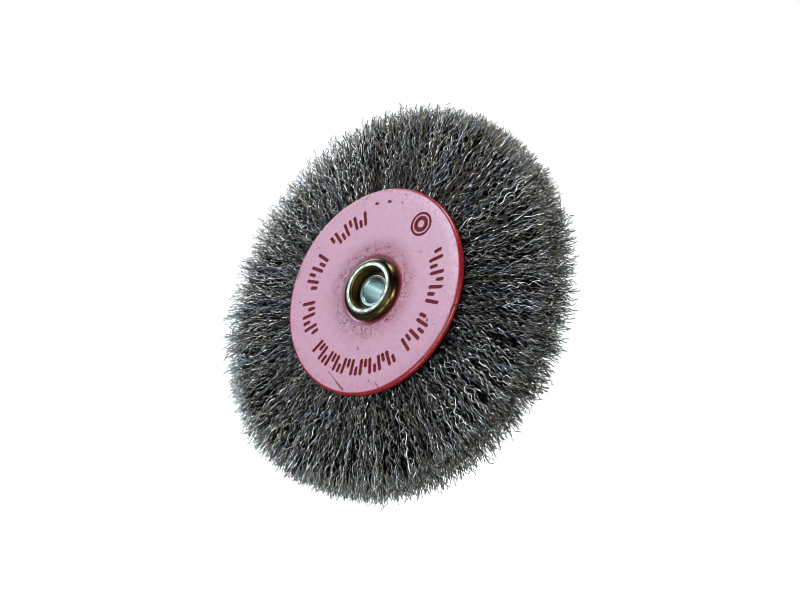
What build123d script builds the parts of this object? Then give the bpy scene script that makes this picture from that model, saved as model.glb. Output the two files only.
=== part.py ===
from build123d import *
import os
from math import cos, sin, radians

# Crimped wire wheel brush for a bench grinder, 150 mm.
# Frame: origin at the middle of the arbor bore, wheel axis along Y, the stamped front
# side faces -Y, +Z is up. Millimetres. "h" below is a height above the middle plane of
# the wheel, measured along the axis towards either side.

# ---------------------------------------------------------------- driving dimensions
wheel_r = 75.0            # free radius of the wire fill
fill_half_rim = 8.9       # half of the fill's width at its working rim
fill_half_plate = 9.6     # half of the fill's width where the side plates let go of it
fill_half_core = 4.6      # half of the fill's width where the hairpins fold over the ring

core_ring_r = 27.0        # pitch radius of the core ring
core_wire_r = 2.0         # radius of the ring's round section
core_gap = 0.02           # room between the ring and its groove in the fill

plate_r = 40.7            # outside radius of the turned-down rim
plate_t = 1.1             # sheet thickness
plate_face_h = 11.9       # height of the flat painted face
plate_floor_h = 11.05     # height of the dished floor under the bead
plate_rim_h = 9.9         # height of the turned-down rim's free edge
plate_corner_r = 1.3      # outside bend radius at the rim
dish_foot_r = 12.95       # the dish rises in two slopes, a short steep one
dish_knee_r = 14.05
dish_knee_h = 11.62
dish_top_r = 19.5         # and a long shallow one
crown_r = 36.8            # outside this radius the face falls away a little
crown_drop = 0.25
plate_hole_r = 9.45       # hole for the eyelet

tube_in_r = 7.95          # eyelet bore, for a 5/8 in spindle or a reducer bushing
tube_out_r = 9.40
bead_crest_h = 14.15      # top of the rolled bead: the clamping land
bead_in_bend_r = 0.85     # bend from the bore up on to the land
bead_land_w = 0.75        # flat land on the crest
bead_out_bend_r = 2.95    # bend from the land down to the widest point
bead_sheet_t = 1.2        # thickness of the rolled-over sheet
bead_foot_r = 12.45       # where the curled edge rests on the dish floor

spacer_out_r = 12.5

# two nested pairs of reducer bushings: 5/8 in to 1/2 in, and 1/2 in to 3/8 in
outer_bush_out_r = 7.92   # slides in the eyelet with 0.03 mm all round
outer_bush_in_r = 6.38
outer_bush_mouth_h = 10.30
inner_bush_out_r = 6.35   # slides in the outer bushing with 0.03 mm all round
inner_bush_in_r = 4.80    # 3/8 in arbor
inner_bush_mouth_h = 10.45
bush_heel_h = 0.15        # inner ends, just short of the bushings from the other side
bush_bore_chamfer = 0.35
bush_edge_chamfer = 0.25

# marks pressed into the front plate: plain bars in groups, and one round recess
mark_depth = 0.45
mark_taper = 35.0         # slope of the pressed walls, in degrees off straight down
mark_in_r = 27.1
mark_out_r = 33.4
bar_w = 1.40
# (first angle, last angle, number of bars), in degrees from +X towards +Z
bar_groups = [
    (11.5, 48.5, 8),
    (130.5, 161.5, 8),
    (175.5, 199.5, 6),
    (211.5, 236.0, 6),
    (248.5, 324.5, 20),
    (336.5, 360.5, 6),
]
short_bar = 0.56          # length of every second bar as a share of the full bar
seal_angle = 75.8
seal_pitch_r = 30.75
# two round grooves: outside radius, inside radius, depth, slope of the walls
seal_rings = [(4.75, 3.80, 0.45, 35.0), (3.25, 1.40, 0.60, 55.0)]
nick_depth = 0.38
nicks = [(110.5, 34.9), (120.5, 34.8)]   # two small punch marks: angle, radius

os.makedirs("parts", exist_ok=True)


def polar(r, a):
    """A point on the face plane at radius r and angle a degrees."""
    return (r * cos(radians(a)), r * sin(radians(a)))


# ---------------------------------------------------------------- side plates
def plate_path(side):
    """Outside line of the pressed sheet, from the hole to the rim's free edge."""
    return [
        (plate_hole_r, side * plate_floor_h),
        (dish_foot_r, side * plate_floor_h),
        (dish_knee_r, side * dish_knee_h),
        (dish_top_r, side * plate_face_h),
        (crown_r, side * plate_face_h),
        (plate_r, side * (plate_face_h - crown_drop)),
        (plate_r, side * plate_rim_h),
    ]


plate_bends = [1.5, 3.0, 55.0, 30.0, plate_corner_r]

front_face_plane = Plane(origin=(0, -plate_face_h, 0), x_dir=(1, 0, 0), z_dir=(0, -1, 0))

with BuildPart() as front_face_plate:
    with BuildSketch(Plane.XY) as front_plate_sk:
        with BuildLine():
            FilletPolyline(*plate_path(-1), radius=plate_bends)
            offset(amount=plate_t, side=Side.LEFT)
        make_face()
    revolve(axis=Axis.Y)
    # the ring of plain bars
    with BuildSketch(front_face_plane) as bars_sk:
        for first, last, count in bar_groups:
            for i in range(count):
                a = first + (last - first) * i / (count - 1)
                full = mark_out_r - mark_in_r
                length = full if i % 2 == 0 else full * short_bar
                mid = mark_in_r + length / 2 if i % 4 != 3 else mark_out_r - length / 2
                x, y = polar(mid, a)
                with Locations(Location((x, y, 0), a)):
                    SlotOverall(length, bar_w)
    extrude(amount=-mark_depth, taper=mark_taper, mode=Mode.SUBTRACT)
    # the plain round mark: two pressed rings, one inside the other
    for ring_out, ring_in, ring_depth, ring_taper in seal_rings:
        with BuildSketch(front_face_plane) as seal_sk:
            with Locations(polar(seal_pitch_r, seal_angle)):
                Circle(ring_out)
                Circle(ring_in, mode=Mode.SUBTRACT)
        extrude(amount=-ring_depth, taper=ring_taper, mode=Mode.SUBTRACT)
    # two punch marks
    with BuildSketch(front_face_plane) as nicks_sk:
        for a, r in nicks:
            x, y = polar(r, a)
            with Locations(Location((x, y, 0), a + 78)):
                SlotOverall(2.0, 1.05)
    extrude(amount=-nick_depth, taper=mark_taper, mode=Mode.SUBTRACT)

with BuildPart() as rear_face_plate:
    with BuildSketch(Plane.XY) as rear_plate_sk:
        with BuildLine():
            FilletPolyline(*plate_path(1), radius=plate_bends)
            offset(amount=plate_t, side=Side.RIGHT)
        make_face()
    revolve(axis=Axis.Y)

# ---------------------------------------------------------------- hub eyelet
land_in_r = tube_in_r + bead_in_bend_r
land_out_r = land_in_r + bead_land_w
bead_max_r = land_out_r + bead_out_bend_r
bend_h = bead_crest_h - bead_out_bend_r          # height of the outer bend's centre
curl_in_r = bead_out_bend_r - bead_sheet_t       # inside radius of the curl

with BuildPart() as hub_eyelet:
    with BuildSketch(Plane.XY) as eyelet_sk:
        # one half of the section, from the middle plane up over the front bead
        with BuildLine():
            Line((tube_in_r, 0), (tube_in_r, -(bead_crest_h - bead_in_bend_r)))
            RadiusArc(
                (tube_in_r, -(bead_crest_h - bead_in_bend_r)),
                (land_in_r, -bead_crest_h),
                -bead_in_bend_r,
            )
            Line((land_in_r, -bead_crest_h), (land_out_r, -bead_crest_h))
            RadiusArc((land_out_r, -bead_crest_h), (bead_max_r, -bend_h), -bead_out_bend_r)
            Line((bead_max_r, -bend_h), (bead_foot_r, -plate_floor_h))
            Line((bead_foot_r, -plate_floor_h), (bead_foot_r - 1.0, -plate_floor_h))
            Line((bead_foot_r - 1.0, -plate_floor_h), (land_out_r + curl_in_r, -bend_h))
            RadiusArc(
                (land_out_r + curl_in_r, -bend_h),
                (land_out_r, -(bend_h + curl_in_r)),
                curl_in_r,
            )
            Line((land_out_r, -(bend_h + curl_in_r)), (tube_out_r, -(bend_h + 0.2)))
            Line((tube_out_r, -(bend_h + 0.2)), (tube_out_r, 0))
            Line((tube_out_r, 0), (tube_in_r, 0))
        make_face()
    revolve(axis=Axis.Y)
    mirror(about=Plane.XZ)

# ---------------------------------------------------------------- hub spacer
spacer_half = plate_floor_h - plate_t
with BuildPart() as hub_spacer:
    with BuildSketch(Plane.XZ.offset(-spacer_half)) as spacer_sk:
        Circle(spacer_out_r)
        Circle(plate_hole_r, mode=Mode.SUBTRACT)
    extrude(amount=2 * spacer_half)
    chamfer(hub_spacer.edges().filter_by(GeomType.CIRCLE).sort_by(SortBy.RADIUS)[-2:], 0.4)

# ---------------------------------------------------------------- core ring
with BuildPart() as core_ring:
    with BuildSketch(Plane.XY) as ring_sk:
        with Locations((core_ring_r, 0)):
            Circle(core_wire_r)
    revolve(axis=Axis.Y)

# ---------------------------------------------------------------- wire fill
with BuildPart() as wire_fill:
    with BuildSketch(Plane.XY) as fill_sk:
        with BuildLine():
            Polyline(
                (core_ring_r, -fill_half_core),
                (core_ring_r + 6.0, -fill_half_plate),
                (plate_r + 3.0, -fill_half_plate),
                (wheel_r - 1.2, -fill_half_rim),
                (wheel_r, -fill_half_rim + 1.2),
                (wheel_r, fill_half_rim - 1.2),
                (wheel_r - 1.2, fill_half_rim),
                (plate_r + 3.0, fill_half_plate),
                (core_ring_r + 6.0, fill_half_plate),
                (core_ring_r, fill_half_core),
                close=True,
            )
        make_face()
        # the groove in which the core ring lies
        with Locations((core_ring_r, 0)):
            Circle(core_wire_r + core_gap, mode=Mode.SUBTRACT)
    revolve(axis=Axis.Y)

# ---------------------------------------------------------------- reducer bushings
def bush_section(side, r_in, r_out, mouth_h):
    """Half section of a bushing: chamfered at both mouths of the bore and both outer edges."""
    c, e = bush_bore_chamfer, bush_edge_chamfer
    lo, hi = bush_heel_h, mouth_h
    return [
        (r_in, side * (lo + c)),
        (r_in + c, side * lo),
        (r_out - e, side * lo),
        (r_out, side * (lo + e)),
        (r_out, side * (hi - e)),
        (r_out - e, side * hi),
        (r_in + c, side * hi),
        (r_in, side * (hi - c)),
    ]


with BuildPart() as front_outer_bushing:
    with BuildSketch(Plane.XY) as front_outer_sk:
        with BuildLine():
            Polyline(*bush_section(-1, outer_bush_in_r, outer_bush_out_r, outer_bush_mouth_h), close=True)
        make_face()
    revolve(axis=Axis.Y)

with BuildPart() as front_inner_bushing:
    with BuildSketch(Plane.XY) as front_inner_sk:
        with BuildLine():
            Polyline(*bush_section(-1, inner_bush_in_r, inner_bush_out_r, inner_bush_mouth_h), close=True)
        make_face()
    revolve(axis=Axis.Y)

with BuildPart() as rear_outer_bushing:
    with BuildSketch(Plane.XY) as rear_outer_sk:
        with BuildLine():
            Polyline(*bush_section(1, outer_bush_in_r, outer_bush_out_r, outer_bush_mouth_h), close=True)
        make_face()
    revolve(axis=Axis.Y)

with BuildPart() as rear_inner_bushing:
    with BuildSketch(Plane.XY) as rear_inner_sk:
        with BuildLine():
            Polyline(*bush_section(1, inner_bush_in_r, inner_bush_out_r, inner_bush_mouth_h), close=True)
        make_face()
    revolve(axis=Axis.Y)

# ---------------------------------------------------------------- output
front_face_plate.part.label = "front_face_plate"
rear_face_plate.part.label = "rear_face_plate"
hub_eyelet.part.label = "hub_eyelet"
hub_spacer.part.label = "hub_spacer"
core_ring.part.label = "core_ring"
wire_fill.part.label = "wire_fill"
front_outer_bushing.part.label = "front_outer_bushing"
front_inner_bushing.part.label = "front_inner_bushing"
rear_outer_bushing.part.label = "rear_outer_bushing"
rear_inner_bushing.part.label = "rear_inner_bushing"

export_step(front_face_plate.part, "parts/front_face_plate.step")
export_step(rear_face_plate.part, "parts/rear_face_plate.step")
export_step(hub_eyelet.part, "parts/hub_eyelet.step")
export_step(hub_spacer.part, "parts/hub_spacer.step")
export_step(core_ring.part, "parts/core_ring.step")
export_step(wire_fill.part, "parts/wire_fill.step")
export_step(front_outer_bushing.part, "parts/front_outer_bushing.step")
export_step(front_inner_bushing.part, "parts/front_inner_bushing.step")
export_step(rear_outer_bushing.part, "parts/rear_outer_bushing.step")
export_step(rear_inner_bushing.part, "parts/rear_inner_bushing.step")
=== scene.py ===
import math

import bpy
import numpy as np
from mathutils import Matrix, Vector


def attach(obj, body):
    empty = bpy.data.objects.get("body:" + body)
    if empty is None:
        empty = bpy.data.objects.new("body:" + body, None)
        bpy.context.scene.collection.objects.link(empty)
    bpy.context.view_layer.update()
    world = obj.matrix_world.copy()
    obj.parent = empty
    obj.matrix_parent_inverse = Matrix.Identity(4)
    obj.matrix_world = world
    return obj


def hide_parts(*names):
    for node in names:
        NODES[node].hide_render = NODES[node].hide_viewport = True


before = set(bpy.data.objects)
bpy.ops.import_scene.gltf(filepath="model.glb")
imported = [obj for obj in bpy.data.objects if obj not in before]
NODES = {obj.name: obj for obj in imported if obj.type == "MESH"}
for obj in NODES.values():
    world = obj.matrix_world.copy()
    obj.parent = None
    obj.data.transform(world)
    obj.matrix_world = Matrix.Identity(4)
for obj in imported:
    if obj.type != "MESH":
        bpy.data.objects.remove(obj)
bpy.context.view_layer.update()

# ------------------------------------------------------------------ sizes, in metres
WHEEL_R = 0.0750          # mean reach of the wire tips
PLATE_R = 0.0407
RIM_EDGE_H = 0.0099       # the side plates' free edge, where they let go of the wire
FACE_H = 0.0119
WIRE_R = 0.000168         # radius of one wire
ROOT_R = 0.0383           # the modelled wires start inside the side plates' rims


# ------------------------------------------------------------------ material helpers
def new_material(name):
    m = bpy.data.materials.new(name)
    m.use_nodes = True
    nt = m.node_tree
    p = nt.nodes["Principled BSDF"]
    return m, nt, p


def node(nt, kind, **values):
    n = nt.nodes.new(kind)
    for k, v in values.items():
        setattr(n, k, v)
    return n


def ramp(nt, stops, interpolation="LINEAR"):
    n = nt.nodes.new("ShaderNodeValToRGB")
    n.color_ramp.interpolation = interpolation
    e = n.color_ramp.elements
    while len(e) > 1:
        e.remove(e[-1])
    e[0].position, e[0].color = stops[0][0], (*stops[0][1], 1) if len(stops[0][1]) == 3 else stops[0][1]
    for pos, col in stops[1:]:
        x = e.new(pos)
        x.color = (*col, 1) if len(col) == 3 else col
    return n


def math_node(nt, op, a, b=None, c=None, clamp=False):
    n = nt.nodes.new("ShaderNodeMath")
    n.operation = op
    n.use_clamp = clamp
    for i, v in enumerate((a, b, c)):
        if v is None:
            continue
        if isinstance(v, (int, float)):
            n.inputs[i].default_value = v
        else:
            nt.links.new(v, n.inputs[i])
    return n.outputs[0]


def mix_color(nt, fac, a, b, blend="MIX"):
    n = nt.nodes.new("ShaderNodeMix")
    n.data_type = "RGBA"
    n.blend_type = blend
    for sock, v in ((n.inputs[0], fac), (n.inputs[6], a), (n.inputs[7], b)):
        if isinstance(v, (int, float)):
            sock.default_value = v
        elif isinstance(v, tuple):
            sock.default_value = (*v, 1) if len(v) == 3 else v
        else:
            nt.links.new(v, sock)
    return n.outputs[2]


def noise(nt, coord, scale, detail=2.0, rough=0.5, out="Fac"):
    n = nt.nodes.new("ShaderNodeTexNoise")
    n.inputs["Scale"].default_value = scale
    n.inputs["Detail"].default_value = detail
    n.inputs["Roughness"].default_value = rough
    nt.links.new(coord, n.inputs["Vector"])
    return n.outputs[out]


def radius_of(nt, coord):
    """Distance from the wheel's axis, and the height along it, at a point."""
    sep = nt.nodes.new("ShaderNodeSeparateXYZ")
    nt.links.new(coord, sep.inputs[0])
    xx = math_node(nt, "MULTIPLY", sep.outputs[0], sep.outputs[0])
    r2 = math_node(nt, "MULTIPLY_ADD", sep.outputs[2], sep.outputs[2], xx)
    return math_node(nt, "SQRT", r2), sep.outputs[1], sep.outputs[0], sep.outputs[2]


def step(nt, x, a, b):
    """0 below a, 1 above b, smooth between."""
    n = nt.nodes.new("ShaderNodeMapRange")
    n.interpolation_type = "SMOOTHSTEP"
    n.inputs["From Min"].default_value = a
    n.inputs["From Max"].default_value = b
    nt.links.new(x, n.inputs["Value"])
    return n.outputs[0]


# ------------------------------------------------------------------ red paint
def scratch(nt, x, z, a, b, width):
    """1 along the line from a to b (both x, z in metres), 0 elsewhere."""
    dx, dz = b[0] - a[0], b[1] - a[1]
    l2 = dx * dx + dz * dz
    px = math_node(nt, "SUBTRACT", x, a[0])
    pz = math_node(nt, "SUBTRACT", z, a[1])
    t = math_node(nt, "MULTIPLY_ADD", pz, dz / l2, math_node(nt, "MULTIPLY", px, dx / l2), clamp=True)
    qx = math_node(nt, "SUBTRACT", px, math_node(nt, "MULTIPLY", t, dx))
    qz = math_node(nt, "SUBTRACT", pz, math_node(nt, "MULTIPLY", t, dz))
    d = math_node(nt, "SQRT", math_node(nt, "MULTIPLY_ADD", qx, qx, math_node(nt, "MULTIPLY", qz, qz)))
    return math_node(nt, "SUBTRACT", 1.0, step(nt, d, width * 0.3, width * 0.75))


# handling marks on the front plate: two ends (x, z) and a width, in metres
SCRATCHES = [
    ((0.0058, -0.0362), (0.0106, -0.0376), 0.00050),
    ((-0.0004, -0.0343), (0.0058, -0.0362), 0.00022),
    ((0.0231, -0.0292), (0.0256, -0.0303), 0.00025),
    ((0.0392, 0.0062), (0.0394, 0.0088), 0.00050),
    ((-0.0247, 0.0296), (-0.0232, 0.0312), 0.00022),
    ((-0.0384, -0.0060), (-0.0379, -0.0094), 0.00030),
]


def red_paint(name, front):
    m, nt, p = new_material(name)
    co = nt.nodes.new("ShaderNodeTexCoord").outputs["Object"]
    r, y, x, z = radius_of(nt, co)
    height = math_node(nt, "ABSOLUTE", y)
    # broad unevenness of the baked paint
    base = mix_color(nt, noise(nt, co, 55, 3, 0.55), (0.350, 0.005, 0.014), (0.420, 0.008, 0.020))
    base = mix_color(nt, math_node(nt, "MULTIPLY_ADD", noise(nt, co, 480, 4, 0.7), 2.2, -0.75, clamp=True), base, (0.27, 0.005, 0.016))
    # the paint is darker and rougher inside the pressed-in marks
    sunk = math_node(nt, "MULTIPLY", math_node(nt, "SUBTRACT", 1.0, step(nt, height, FACE_H - 0.00026, FACE_H - 0.00004)), step(nt, r, 0.0240, 0.0250))
    inside = math_node(nt, "MULTIPLY", sunk, math_node(nt, "SUBTRACT", 1.0, step(nt, r, 0.0362, 0.0367)))
    base = mix_color(nt, inside, base, (0.145, 0.003, 0.006))
    # fine dirt specks, thickest in a ring round the hub
    near_hub = math_node(nt, "MULTIPLY", step(nt, r, 0.0127, 0.0145), math_node(nt, "SUBTRACT", 1.0, step(nt, r, 0.0165, 0.0235)))
    sp = noise(nt, co, 1500, 2.0, 0.6)
    patch = noise(nt, co, 240, 3.0, 0.6)
    lim = math_node(nt, "MULTIPLY_ADD", near_hub, -0.135, 0.725)
    lim = math_node(nt, "MULTIPLY_ADD", math_node(nt, "SUBTRACT", patch, 0.5), -0.20, lim)
    speck = math_node(nt, "MULTIPLY", math_node(nt, "SUBTRACT", sp, lim), 17.0, clamp=True)
    sp2 = noise(nt, co, 620, 1.0, 0.5)
    big = math_node(nt, "MULTIPLY", math_node(nt, "SUBTRACT", sp2, 0.765), 40.0, clamp=True)
    dirt = math_node(nt, "MAXIMUM", speck, big)
    if front:
        for a, b, w in SCRATCHES:
            dirt = math_node(nt, "MAXIMUM", dirt, scratch(nt, x, z, a, b, w))
    # painted shade: a mottled darker ring round the hub, where the dish around the bead falls into shade
    hub_shade_ring = math_node(nt, "MULTIPLY", near_hub, math_node(nt, "MULTIPLY_ADD", noise(nt, co, 900, 4, 0.7), 1.8, -0.45, clamp=True))
    # the painted shade is heaviest on the -X side of the hub
    shade_side_weight = math_node(nt, "MULTIPLY_ADD", step(nt, x, -0.0100, 0.0130), -0.36, 0.62)
    base = mix_color(nt, math_node(nt, "MULTIPLY", hub_shade_ring, shade_side_weight), base, (0.13, 0.010, 0.016))
    # painted shadow and highlight: the crease against the hub bead is painted near-black on its +X side, and on its
    # -X/-Z side a pale painted highlight lies in it instead
    highlight_side = step(nt, math_node(nt, "MULTIPLY_ADD", x, -0.85, math_node(nt, "MULTIPLY", z, -0.50)), -0.0030, 0.0070)
    crease_shadow = math_node(nt, "MULTIPLY", math_node(nt, "SUBTRACT", 1.0, step(nt, r, 0.01285, 0.01325)), math_node(nt, "MULTIPLY_ADD", highlight_side, -0.90, 1.0))
    crease_highlight = math_node(nt, "MULTIPLY", highlight_side, math_node(nt, "SUBTRACT", 1.0, step(nt, r, 0.01330, 0.01440)))
    base = mix_color(nt, math_node(nt, "MULTIPLY", crease_highlight, 0.55), base, (0.58, 0.30, 0.37))
    base = mix_color(nt, math_node(nt, "MULTIPLY", crease_shadow, 0.85), base, (0.030, 0.006, 0.008))
    base = mix_color(nt, math_node(nt, "MULTIPLY", dirt, 0.80), base, (0.030, 0.006, 0.009))
    # bare steel showing on the knocks along the rim's bend
    bend = math_node(nt, "MULTIPLY", step(nt, r, PLATE_R - 0.0013, PLATE_R - 0.0004), step(nt, height, FACE_H - 0.0016, FACE_H - 0.0006))
    chip = math_node(nt, "MULTIPLY", bend, math_node(nt, "MULTIPLY", math_node(nt, "SUBTRACT", noise(nt, co, 420, 4.0, 0.65), 0.615), 24.0, clamp=True))
    base = mix_color(nt, chip, base, (0.07, 0.020, 0.018))
    nt.links.new(base, p.inputs["Base Color"])
    rough = math_node(nt, "MULTIPLY_ADD", noise(nt, co, 320, 3, 0.6), 0.12, 0.19)
    grimy = math_node(nt, "MULTIPLY", near_hub, math_node(nt, "MULTIPLY_ADD", noise(nt, co, 700, 4, 0.7), 1.6, -0.25, clamp=True))
    rough = math_node(nt, "MULTIPLY_ADD", grimy, 0.26, rough)
    # a fine dusty grain over the whole face
    dust = math_node(nt, "MULTIPLY", math_node(nt, "SUBTRACT", noise(nt, co, 1250, 3, 0.65), 0.50), 4.5, clamp=True)
    rough = math_node(nt, "MULTIPLY_ADD", dust, 0.26, rough)
    rough = math_node(nt, "MULTIPLY_ADD", crease_shadow, 0.45, rough)
    rough = math_node(nt, "MULTIPLY_ADD", dirt, 0.80, rough, clamp=True)
    rough = math_node(nt, "MULTIPLY_ADD", inside, 0.80, rough, clamp=True)
    nt.links.new(rough, p.inputs["Roughness"])
    # orange peel
    bump = nt.nodes.new("ShaderNodeBump")
    bump.inputs["Strength"].default_value = 0.13
    bump.inputs["Distance"].default_value = 0.00004
    nt.links.new(noise(nt, co, 900, 2, 0.5), bump.inputs["Height"])
    bev = nt.nodes.new("ShaderNodeBevel")
    bev.samples = 6
    bev.inputs["Radius"].default_value = 0.00016
    nt.links.new(bev.outputs[0], bump.inputs["Normal"])
    nt.links.new(bump.outputs[0], p.inputs["Normal"])
    p.inputs["Metallic"].default_value = 0.0
    p.inputs["IOR"].default_value = 1.52
    p.inputs["Specular IOR Level"].default_value = 1.0
    return m


# ------------------------------------------------------------------ hub metals
def yellow_zinc():
    m, nt, p = new_material("YellowZinc")
    co = nt.nodes.new("ShaderNodeTexCoord").outputs["Object"]
    r, y, x, z = radius_of(nt, co)
    height = math_node(nt, "ABSOLUTE", y)
    n1 = noise(nt, co, 190, 4, 0.6)
    base = ramp(nt, [(0.30, (0.060, 0.040, 0.017)), (0.50, (0.105, 0.082, 0.036)), (0.72, (0.165, 0.135, 0.062))])
    nt.links.new(n1, base.inputs[0])
    # fine lines left round the bead by the rolling tool, some of them rubbed to gold
    ringco = nt.nodes.new("ShaderNodeCombineXYZ")
    nt.links.new(math_node(nt, "MULTIPLY", r, 5.0), ringco.inputs[0])
    nt.links.new(math_node(nt, "MULTIPLY", height, 5.0), ringco.inputs[1])
    nt.links.new(math_node(nt, "MULTIPLY", x, 0.22), ringco.inputs[2])
    lines = noise(nt, ringco.outputs[0], 420, 3, 0.6)
    gold = math_node(nt, "MULTIPLY", math_node(nt, "SUBTRACT", lines, 0.56), 9.0, clamp=True)
    col = mix_color(nt, math_node(nt, "MULTIPLY", gold, 0.75), base.outputs[0], (0.60, 0.42, 0.14))
    dark = math_node(nt, "MULTIPLY", math_node(nt, "SUBTRACT", 0.46, lines), 8.0, clamp=True)
    col = mix_color(nt, math_node(nt, "MULTIPLY", dark, 0.75), col, (0.030, 0.022, 0.012))
    grime = math_node(nt, "MULTIPLY", math_node(nt, "SUBTRACT", noise(nt, co, 700, 4, 0.65), 0.55), 8.0, clamp=True)
    col = mix_color(nt, math_node(nt, "MULTIPLY", grime, 0.6), col, (0.050, 0.036, 0.016))
    # the crest is rubbed bright by the washers that clamp it
    land = math_node(nt, "MULTIPLY", step(nt, r, 0.00862, 0.00880), math_node(nt, "SUBTRACT", 1.0, step(nt, r, 0.00962, 0.00984)))
    land = math_node(nt, "MULTIPLY", land, step(nt, height, 0.01390, 0.01408))
    rub = mix_color(nt, math_node(nt, "MULTIPLY", math_node(nt, "SUBTRACT", noise(nt, co, 480, 3, 0.6), 0.42), 7.0, clamp=True), (0.13, 0.14, 0.10), (0.27, 0.28, 0.205))
    # inside the mouth the yellow passivate is untouched
    throat = math_node(nt, "SUBTRACT", 1.0, step(nt, r, 0.00805, 0.00850))
    warm = mix_color(nt, math_node(nt, "MULTIPLY", math_node(nt, "SUBTRACT", lines, 0.44), 7.0, clamp=True), (0.060, 0.048, 0.020), (0.46, 0.33, 0.125))
    col = mix_color(nt, math_node(nt, "MULTIPLY", throat, 0.85), col, warm)
    # painted shade: a dark band on the bead just outside the crest
    crest_shade_band = math_node(nt, "MULTIPLY", step(nt, r, 0.00930, 0.00950), math_node(nt, "SUBTRACT", 1.0, step(nt, r, 0.01040, 0.01120)))
    col = mix_color(nt, math_node(nt, "MULTIPLY", crest_shade_band, 0.80), col, (0.020, 0.018, 0.012))
    col = mix_color(nt, land, col, rub)
    nt.links.new(col, p.inputs["Base Color"])
    rough = math_node(nt, "MULTIPLY_ADD", noise(nt, co, 500, 3, 0.6), 0.16, 0.14)
    rough = math_node(nt, "MULTIPLY_ADD", land, 0.05, rough)
    rough = math_node(nt, "MULTIPLY_ADD", throat, 0.26, rough)
    nt.links.new(rough, p.inputs["Roughness"])
    bump = nt.nodes.new("ShaderNodeBump")
    bump.inputs["Strength"].default_value = 0.55
    bump.inputs["Distance"].default_value = 0.00006
    nt.links.new(math_node(nt, "MULTIPLY_ADD", lines, 0.8, noise(nt, co, 800, 3, 0.6)), bump.inputs["Height"])
    nt.links.new(bump.outputs[0], p.inputs["Normal"])
    p.inputs["Metallic"].default_value = 1.0
    return m


def bright_zinc():
    m, nt, p = new_material("BrightZinc")
    co = nt.nodes.new("ShaderNodeTexCoord").outputs["Object"]
    r, y, x, z = radius_of(nt, co)
    height = math_node(nt, "ABSOLUTE", y)
    # painted reflection: the bore is painted pale cyan on its -Z side, where a bright reflection lies, and grey
    # tarnish on the other
    side = math_node(nt, "MULTIPLY_ADD", z, -0.72, math_node(nt, "MULTIPLY", x, -0.30))
    side = math_node(nt, "MULTIPLY_ADD", math_node(nt, "SUBTRACT", noise(nt, co, 210, 2, 0.5), 0.5), 0.0050, side)
    reflection_side = step(nt, side, -0.0026, 0.0004)
    stain = noise(nt, co, 420, 4, 0.65)
    bore = mix_color(nt, reflection_side, mix_color(nt, stain, (0.16, 0.165, 0.15), (0.30, 0.31, 0.29)), (0.66, 0.80, 0.80))
    # the mouth's face, with its outer edge rubbed to a thin bright line
    face = math_node(nt, "MULTIPLY", step(nt, height, 0.01025, 0.01036), step(nt, r, 0.00495, 0.00510))
    # the mouth's face carries the same painted reflection on that side
    col = mix_color(nt, face, bore, mix_color(nt, reflection_side, mix_color(nt, stain, (0.030, 0.028, 0.020), (0.055, 0.050, 0.036)), (0.125, 0.180, 0.155)))
    edge = step(nt, r, 0.00585, 0.00600)
    col = mix_color(nt, edge, col, (0.25, 0.26, 0.20))
    nt.links.new(col, p.inputs["Base Color"])
    rough = math_node(nt, "MULTIPLY_ADD", noise(nt, co, 900, 3, 0.6), 0.10, 0.27)
    rough = math_node(nt, "MULTIPLY_ADD", face, -0.06, rough)
    nt.links.new(rough, p.inputs["Roughness"])
    p.inputs["Metallic"].default_value = 1.0
    return m


def dull_zinc():
    m, nt, p = new_material("DullZinc")
    co = nt.nodes.new("ShaderNodeTexCoord").outputs["Object"]
    r, y, x, z = radius_of(nt, co)
    base = mix_color(nt, noise(nt, co, 260, 4, 0.6), (0.014, 0.015, 0.010), (0.040, 0.040, 0.026))
    # the mouth's inner edge is rubbed
    rim = math_node(nt, "SUBTRACT", 1.0, step(nt, r, 0.00652, 0.00664))
    rim = math_node(nt, "MULTIPLY", rim, step(nt, noise(nt, co, 190, 1, 0.5), 0.46, 0.56))
    base = mix_color(nt, rim, base, (0.12, 0.125, 0.10))
    # the sleeve's wall, which was covered, is cleaner than its mouth
    mouth = step(nt, math_node(nt, "ABSOLUTE", y), 0.00975, 0.01005)
    base = mix_color(nt, mouth, mix_color(nt, noise(nt, co, 300, 4, 0.6), (0.150, 0.155, 0.145), (0.270, 0.275, 0.255)), base)
    nt.links.new(base, p.inputs["Base Color"])
    nt.links.new(math_node(nt, "MULTIPLY_ADD", noise(nt, co, 700, 3, 0.6), 0.2, 0.25), p.inputs["Roughness"])
    p.inputs["Metallic"].default_value = 1.0
    return m


def plain_steel():
    m, nt, p = new_material("PlainSteel")
    co = nt.nodes.new("ShaderNodeTexCoord").outputs["Object"]
    base = mix_color(nt, noise(nt, co, 180, 4, 0.6), (0.30, 0.30, 0.31), (0.46, 0.45, 0.44))
    nt.links.new(base, p.inputs["Base Color"])
    nt.links.new(math_node(nt, "MULTIPLY_ADD", noise(nt, co, 600, 3, 0.6), 0.2, 0.28), p.inputs["Roughness"])
    p.inputs["Metallic"].default_value = 1.0
    return m


def wire_material(name, color, rough, metallic=1.0):
    m, nt, p = new_material(name)
    p.inputs["Base Color"].default_value = (*color, 1)
    p.inputs["Metallic"].default_value = metallic
    p.inputs["Roughness"].default_value = rough
    return m


def repaint(n, m):
    o = NODES[n]
    for s in o.material_slots:
        s.link = "OBJECT"
        s.material = m
    if not o.material_slots:
        o.data.materials.append(m)


repaint("front_face_plate", red_paint("RedPaintFront", True))
repaint("rear_face_plate", red_paint("RedPaintRear", False))
repaint("hub_eyelet", yellow_zinc())
zinc = bright_zinc()
repaint("front_inner_bushing", zinc)
repaint("rear_inner_bushing", zinc)
dull = dull_zinc()
repaint("front_outer_bushing", dull)
repaint("rear_outer_bushing", dull)
steel = plain_steel()
repaint("hub_spacer", steel)
repaint("core_ring", steel)

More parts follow.
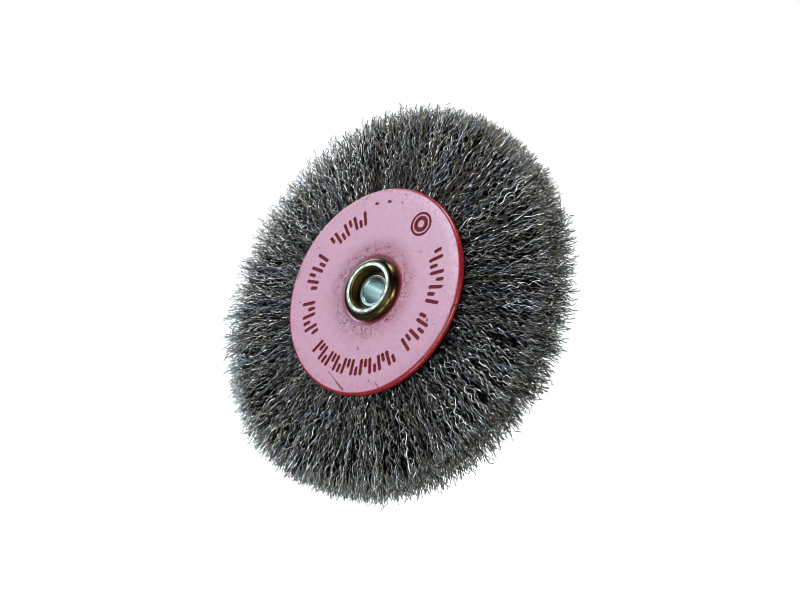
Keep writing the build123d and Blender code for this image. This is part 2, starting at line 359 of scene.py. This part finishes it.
# ------------------------------------------------------------------ crimped wires
WIRES = [
    wire_material("WireMid", (0.375, 0.362, 0.314), 0.25),
    wire_material("WireDark", (0.095, 0.092, 0.083), 0.30),
    wire_material("WireBright", (0.740, 0.720, 0.630), 0.22),
    wire_material("WireBlue", (0.270, 0.305, 0.335), 0.26),
    wire_material("WireBrown", (0.250, 0.190, 0.115), 0.36),
    wire_material("WireRust", (0.170, 0.085, 0.034), 0.60, 0.4),
    # near-black, used only as painted shade inside the fill
    wire_material("WirePaintedShade", (0.014, 0.013, 0.012), 0.50),
]
WIRE_SHARE = [0.35, 0.30, 0.175, 0.115, 0.055, 0.005, 0.0]
DARK, PAINTED_SHADE_TINT = 1, 6

SECTORS = 16
COLS, ROWS = 46, 14
SEGS = 48
SIDES = 3
rng = np.random.default_rng(20417)
# the worn fill's reach round the wheel: angle from +X towards +Z in degrees, and millimetres over the mean
REACH = [(22, 0.0), (51, 0.0), (76, 0.2), (115, 0.0), (149, -0.5), (176, 0.1), (204, 2.0), (236, 2.0), (277, 0.4), (304, 1.1), (334, 1.2), (359, 2.1)]


def smooth(x, a, b):
    t = np.clip((x - a) / (b - a), 0, 1)
    return t * t * (3 - 2 * t)


def flow(psi, y):
    """A slow sideways drift that neighbouring wires share."""
    a = np.zeros_like(psi)
    for k1, k2, p1, p2, s1 in FLOW:
        a = a + s1 * np.sin(k1 * psi + p1) * np.cos(k2 * y + p2)
    return a


FLOW = [(int(k1), k2, p1, p2, s1) for k1, k2, p1, p2, s1 in zip(
    rng.integers(5, 60, 10), rng.uniform(0.5, 4.0, 10), rng.uniform(0, 6.283, 10), rng.uniform(0, 6.283, 10), rng.uniform(0.0002, 0.0006, 10))]


def sector_wires(k):
    """Centre lines of one sector's wires, as an array (wires, rings, 3), and each wire's tints."""
    ci, ri = np.meshgrid(np.arange(COLS), np.arange(ROWS))
    ci, ri = ci.ravel(), ri.ravel()
    m = len(ci)
    width = 2 * math.pi / SECTORS
    psi = k * width + (ci + rng.uniform(-0.2, 1.2, m)) / COLS * width
    y0 = np.clip((ri + rng.uniform(0, 1, m)) / ROWS * 2 - 1, -0.995, 0.995)          # -1 front face, +1 rear face

    def wander(size, low, high):
        k2, p2 = rng.uniform(low, high, m), rng.uniform(0, 6.283, m)
        return size * np.sin(2 * math.pi * r / k2[:, None] + p2[:, None])

    amp = np.clip(rng.normal(0.00098, 0.00020, m), 0.0004, 0.0016)
    lam = np.clip(rng.normal(0.0052, 0.0008, m), 0.0036, 0.0078)
    drift_k, drift_p = rng.uniform(0.009, 0.020, m), rng.uniform(0, 6.283, m)
    swell_k, swell_p = rng.uniform(0.008, 0.018, m), rng.uniform(0, 6.283, m)
    phi = rng.uniform(0, 2 * math.pi, m)
    alp = rng.uniform(0.14, 0.86, m) * math.pi
    lean = flow(psi, y0) + rng.normal(0, 0.0022, m)
    outw = rng.normal(0, 0.0010, m)
    reach = WHEEL_R - 0.0004 + 0.0012 * flow(psi, 2 + y0) / 0.0010 * 0.5 + rng.normal(0, 0.0010, m)
    deg = np.array([a for a, _ in REACH])
    reach = reach + 0.001 * np.interp(np.degrees(psi) % 360, deg, [d for _, d in REACH], period=360)
    stray = rng.random(m) < 0.05
    lean = np.where(stray, lean * 2.2, lean)
    reach = np.where(stray, reach + rng.uniform(0, 0.0018, m), reach)
    outw = np.where(stray, outw * 1.8, outw)

    t = np.linspace(0, 1, SEGS + 1)[None, :]
    r = ROOT_R + (reach[:, None] - ROOT_R) * t
    free = smooth(r, 0.0378, 0.0408)                     # how far the crimp has opened up
    u = np.clip((r - 0.0405) / (WHEEL_R - 0.0405), 0, 1.1)
    free = free * (1 - 0.35 * smooth(u, 0.70, 1.0))      # the tips are worn straighter
    wave = 2 * math.pi * r / lam[:, None] + phi[:, None] + 1.1 * np.sin(2 * math.pi * r / drift_k[:, None] + drift_p[:, None])
    s = (np.sin(wave) + 0.12 * np.sin(3 * wave)) * (1 + 0.35 * np.sin(2 * math.pi * r / swell_k[:, None] + swell_p[:, None]))
    tang = lean[:, None] * u ** 1.3 + (wander(0.0009, 0.014, 0.034) + amp[:, None] * s * np.cos(alp)[:, None]) * free
    half = 0.0091 + 0.0002 * smooth(r, 0.0410, 0.0500)
    yy = y0[:, None] * half + outw[:, None] * u
    yy = yy + (wander(0.0005, 0.014, 0.036) + amp[:, None] * s * np.sin(alp)[:, None]) * free
    cap = 0.00945 + 0.0009 * smooth(r, 0.0412, 0.0470)
    yy = np.where(np.abs(yy) > cap - 0.0008, np.sign(yy) * (cap - 0.0008 + 0.0008 * np.tanh((np.abs(yy) - cap + 0.0008) / 0.0008)), yy)
    a = psi[:, None] + tang / r
    line = np.stack([r * np.cos(a), yy, r * np.sin(a)], -1)
    tint = rng.choice(len(WIRES), m, p=WIRE_SHARE)
    # painted shade: wire segments below the surface of the fill, short of their last 5 mm, are darkened, so that
    # only the crests at the surface keep their own tint
    rm = 0.5 * (r[:, 1:] + r[:, :-1])
    ym = np.abs(0.5 * (yy[:, 1:] + yy[:, :-1])) + rng.normal(0, 0.00025, m)[:, None]
    inner = rm < reach[:, None] - 0.0050
    tints = np.broadcast_to(tint[:, None], rm.shape)
    # the wires are rubbed brighter towards their tips and darker by the plates; painted light lightens far more tips
    # on the -X side, where the light falls, and painted shade darkens more wires on the +X side, away from the
    # light; three further bands round the wheel are darkened as well
    # side is 1 on the -X side, where the light falls, and weights the painted light
    side = (0.5 + 0.5 * np.cos(psi - 2.88))[:, None]
    # weight of the painted shade, highest on the +X side, away from the light
    darken_weight = np.exp(-(((psi - 0.35 + math.pi) % (2 * math.pi) - math.pi) / 0.80) ** 2)[:, None]
    worn = rm > 0.0585 - 0.0050 * side + rng.normal(0, 0.0045, m)[:, None]
    hush = sum(w * np.exp(-(((psi - c + math.pi) % (2 * math.pi) - math.pi) / q) ** 2) for c, q, w in ((0.85, 0.60, 0.9), (2.05, 0.50, 0.55), (4.75, 0.50, 0.8)))[:, None]
    near_plate_dark = rm < 0.0505 + 0.0140 * hush + rng.normal(0, 0.0030, m)[:, None]
    darken_weight = np.maximum(darken_weight, 0.8 * hush)
    lift, luck = rng.random(m)[:, None] / (1 - 0.75 * hush), rng.random(m)[:, None]
    start = tints
    tints = np.where(worn & (start == 0) & (lift < 0.12 + 0.80 * side ** 2), 2, tints)
    tints = np.where(worn & (start == DARK) & (lift < 0.35 + 0.65 * side), 0, tints)
    tints = np.where(near_plate_dark & (start == 2) & (luck < 0.40 + 0.45 * darken_weight), 0, tints)
    tints = np.where(near_plate_dark & (start == 0) & (luck > 0.84 - 0.40 * darken_weight), DARK, tints)
    # painted shade: segments below the surface go dark, and deeper ones near-black
    tints = np.where(inner & (ym < 0.0080 + 0.00030 * (1 - side)), DARK, tints)
    tints = np.where(inner & (ym < 0.0070 + 0.00070 * (1 - side)), PAINTED_SHADE_TINT, tints)
    return line, tints


def tubes(name, line, tint):
    """One mesh of closed thin tubes along the given lines."""
    m, rings, _ = line.shape
    tan = np.gradient(line, axis=1)
    tan /= np.linalg.norm(tan, axis=2, keepdims=True)
    ref = np.broadcast_to(np.array([0.0, 1.0, 0.0]), tan.shape)
    n1 = np.cross(tan, ref)
    n1 /= np.linalg.norm(n1, axis=2, keepdims=True)
    n2 = np.cross(tan, n1)
    turn = rng.uniform(0, 2 * math.pi, m)
    ang = turn[:, None] + np.arange(SIDES)[None, :] * 2 * math.pi / SIDES
    ca, sa = np.cos(ang)[:, None, :, None], np.sin(ang)[:, None, :, None]
    v = line[:, :, None, :] + WIRE_R * (ca * n1[:, :, None, :] + sa * n2[:, :, None, :])
    verts = v.reshape(-1, 3)
    # faces: the sides as two triangles each, and a cap at both ends
    i = np.arange(rings - 1)[:, None] * SIDES
    j = np.arange(SIDES)[None, :]
    j2 = (j + 1) % SIDES
    a, b, c, d = i + j, i + j2, i + SIDES + j2, i + SIDES + j
    side = np.stack([np.stack([a, b, c], -1), np.stack([a, c, d], -1)], 2).reshape(-1, 3)
    side = side[:, ::-1]
    root = np.array([[0, 1, 2]])
    last = (rings - 1) * SIDES
    tip = np.array([[last + 2, last + 1, last]])
    one = np.concatenate([side, root, tip])
    faces = (one[None] + (np.arange(m) * rings * SIDES)[:, None, None]).reshape(-1, 3)
    me = bpy.data.meshes.new(name)
    me.from_pydata(verts, [], faces)
    for x in WIRES:
        me.materials.append(x)
    # the side faces run ring by ring, SIDES * 2 triangles a ring, then the root and the tip
    idx = np.concatenate([np.repeat(tint, SIDES * 2, axis=1), tint[:, :1], tint[:, -1:]], axis=1).ravel()
    me.polygons.foreach_set("material_index", idx.astype(np.int32))
    me.polygons.foreach_set("use_smooth", np.ones(len(idx), bool))
    me.update()
    ob = bpy.data.objects.new(name, me)
    bpy.context.scene.collection.objects.link(ob)
    return ob


for k in range(SECTORS):
    line, tint = sector_wires(k)
    ob = tubes(f"crimped_wires_{k + 1:02d}", line, tint)
    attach(ob, "wheel")
    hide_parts("wire_fill")

# ------------------------------------------------------------------ floor, light, camera
scene = bpy.context.scene
scene.view_settings.view_transform = "Standard"
scene.cycles.filter_width = 1.0
FLOOR_Z = -0.0791

fm = bpy.data.meshes.new("studio_floor")
S = 30.0
fm.from_pydata([(-S, -S, FLOOR_Z), (S, -S, FLOOR_Z), (S, S, FLOOR_Z), (-S, S, FLOOR_Z)], [], [(0, 1, 2, 3)])
floor = bpy.data.objects.new("studio_floor", fm)
scene.collection.objects.link(floor)
mat, nt, p = new_material("StudioFloor")
p.inputs["Base Color"].default_value = (0.30, 0.30, 0.305, 1)
p.inputs["Roughness"].default_value = 0.9
p.inputs["Specular IOR Level"].default_value = 0.0
lp = nt.nodes.new("ShaderNodeLightPath")
p.inputs["Emission Color"].default_value = (1, 1, 1, 1)
nt.links.new(math_node(nt, "MULTIPLY", lp.outputs["Is Camera Ray"], 0.93), p.inputs["Emission Strength"])
fm.materials.append(mat)
floor.visible_diffuse = False
floor.visible_glossy = False
floor.visible_shadow = False

world = bpy.data.worlds.new("Studio") if scene.world is None else scene.world
scene.world = world
world.use_nodes = True
wt = world.node_tree
for n in list(wt.nodes):
    wt.nodes.remove(n)
out = wt.nodes.new("ShaderNodeOutputWorld")
dim = wt.nodes.new("ShaderNodeBackground")
seen = wt.nodes.new("ShaderNodeBackground")
mixs = wt.nodes.new("ShaderNodeMixShader")
lp = wt.nodes.new("ShaderNodeLightPath")
seen.inputs["Color"].default_value = (1, 1, 1, 1)
seen.inputs["Strength"].default_value = 1.0
geo = wt.nodes.new("ShaderNodeTexCoord")
# soft panels round a dark studio: direction, full inside and faded outside angle in degrees, colour
PANELS = [
    ((-0.682, -0.731, 0.000), 16, 28, (3.22, 3.87, 5.22)),     # the window that the painted face mirrors
    ((-0.589, -0.792, 0.162), 3, 9, (4.5, 5.5, 6.5)),
    ((-0.250, -0.250, 0.930), 6, 15, (9.0, 8.7, 8.3)),       # overhead
    ((0.920, -0.280, 0.270), 5, 14, (8.0, 7.5, 6.8)),
    ((0.800, -0.580, -0.160), 5, 13, (4.2, 3.9, 3.4)),
    ((0.600, -0.500, -0.620), 5, 13, (4.6, 4.2, 3.7)),
    ((0.060, -0.998, 0.000), 8, 24, (1.25, 1.45, 1.7)),
    ((0.850, -0.350, -0.150), 20, 60, (0.14, 0.13, 0.12)),
    ((-0.500, 0.820, 0.280), 14, 40, (2.5, 2.8, 3.0)),       # behind
    ((-0.940, 0.000, 0.340), 10, 26, (5.0, 5.4, 5.8)),       # beside
    ((0.560, 0.820, -0.080), 16, 50, (0.85, 0.95, 1.10)),    # behind, the other way
    ((-0.200, 0.730, -0.650), 18, 40, (3.0, 4.6, 5.2)),   # the pale floor behind, seen down the bore
    ((0.000, -0.300, -0.950), 30, 75, (0.20, 0.20, 0.20)),
]
total = None
for axis, inner, outer, colour in PANELS:
    d = wt.nodes.new("ShaderNodeVectorMath")
    d.operation = "DOT_PRODUCT"
    wt.links.new(geo.outputs["Generated"], d.inputs[0])
    d.inputs[1].default_value = Vector(axis).normalized()
    f = step(wt, d.outputs["Value"], math.cos(math.radians(outer)), math.cos(math.radians(inner)))
    sc = wt.nodes.new("ShaderNodeVectorMath")
    sc.operation = "SCALE"
    sc.inputs[0].default_value = colour
    wt.links.new(f, sc.inputs["Scale"])
    if total is None:
        total = sc.outputs[0]
    else:
        ad = wt.nodes.new("ShaderNodeVectorMath")
        ad.operation = "ADD"
        wt.links.new(total, ad.inputs[0])
        wt.links.new(sc.outputs[0], ad.inputs[1])
        total = ad.outputs[0]
ad = wt.nodes.new("ShaderNodeVectorMath")
ad.operation = "ADD"
wt.links.new(total, ad.inputs[0])
ad.inputs[1].default_value = (0.016, 0.017, 0.018)
wt.links.new(ad.outputs[0], dim.inputs["Color"])
dim.inputs["Strength"].default_value = 1.0
wt.links.new(lp.outputs["Is Camera Ray"], mixs.inputs[0])
wt.links.new(dim.outputs[0], mixs.inputs[1])
wt.links.new(seen.outputs[0], mixs.inputs[2])
wt.links.new(mixs.outputs[0], out.inputs["Surface"])

TILT, ROLL, DIST, FOCAL = math.radians(43.01), math.radians(27.2), 0.550, 1456.4
back = Vector((math.sin(TILT), -math.cos(TILT), 0.0))
right0 = Vector((math.cos(TILT), math.sin(TILT), 0.0))
up0 = Vector((0, 0, 1))
right = math.cos(ROLL) * right0 + math.sin(ROLL) * up0
up = -math.sin(ROLL) * right0 + math.cos(ROLL) * up0
cd = bpy.data.cameras.new("camera")
cam = bpy.data.objects.new("camera", cd)
scene.collection.objects.link(cam)
cam.matrix_world = Matrix((
    (right.x, up.x, back.x, back.x * DIST),
    (right.y, up.y, back.y, back.y * DIST),
    (right.z, up.z, back.z, back.z * DIST),
    (0, 0, 0, 1),
))
cd.sensor_width = 36.0
cd.lens = 36.0 * FOCAL / 800.0
cd.shift_x = 9.7 / 800.0
cd.shift_y = -0.8 / 800.0
cd.clip_start = 0.01
cd.clip_end = 100.0
scene.camera = cam
